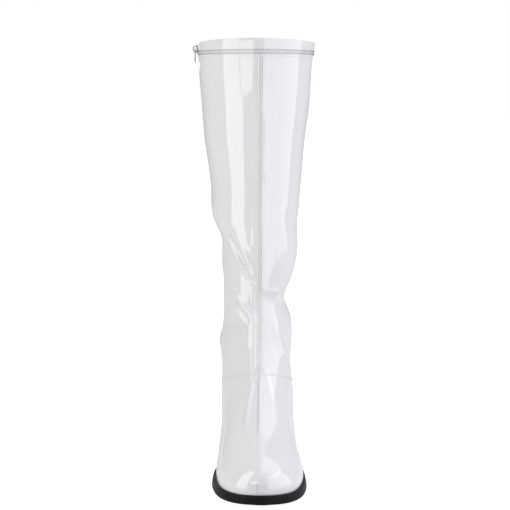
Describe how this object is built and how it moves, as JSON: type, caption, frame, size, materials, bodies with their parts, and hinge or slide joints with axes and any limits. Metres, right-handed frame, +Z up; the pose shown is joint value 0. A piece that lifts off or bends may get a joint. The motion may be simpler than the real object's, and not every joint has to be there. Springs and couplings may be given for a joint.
{
  "type": "go go boot",
  "caption": "Left knee-high go-go boot: white patent upper, inner side zip with a swinging pull tab, 76 mm block heel and thin black sole.",
  "frame": {"origin": "on the floor, in the middle of the box round the whole boot", "axes": "+Z up the shaft, -Y towards the toe, -X the inner side of the foot, where the zip is"},
  "size_m": [0.1255, 0.2555, 0.4295],
  "materials": {
    "patent": "gloss white stretch patent",
    "sole_rubber": "satin black",
    "sock": "matt cream lining",
    "heel_wrap": "gloss white patent over a block",
    "tip_rubber": "matt black",
    "zip_tape": "woven white tape",
    "zip_teeth": "satin white coil",
    "zip_metal": "plated, lightly worn"
  },
  "bodies": {
    "boot": {"upper": "patent", "outsole": "sole_rubber", "insole": "sock", "heel_block": "heel_wrap", "top_lift": "tip_rubber", "zip_tape": "zip_tape", "zip_coil": "zip_teeth", "zip_slider": "zip_metal"},
    "pull": {"zip_pull": "zip_metal"}
  },
  "joints": [
    {"name": "pull_swing", "type": "hinge", "parent": "boot", "child": "pull", "pos_m": [-0.06037, 0.06841, 0.41844], "axis": [0, 1, 0], "range_deg": [0, 150]}
  ]
}
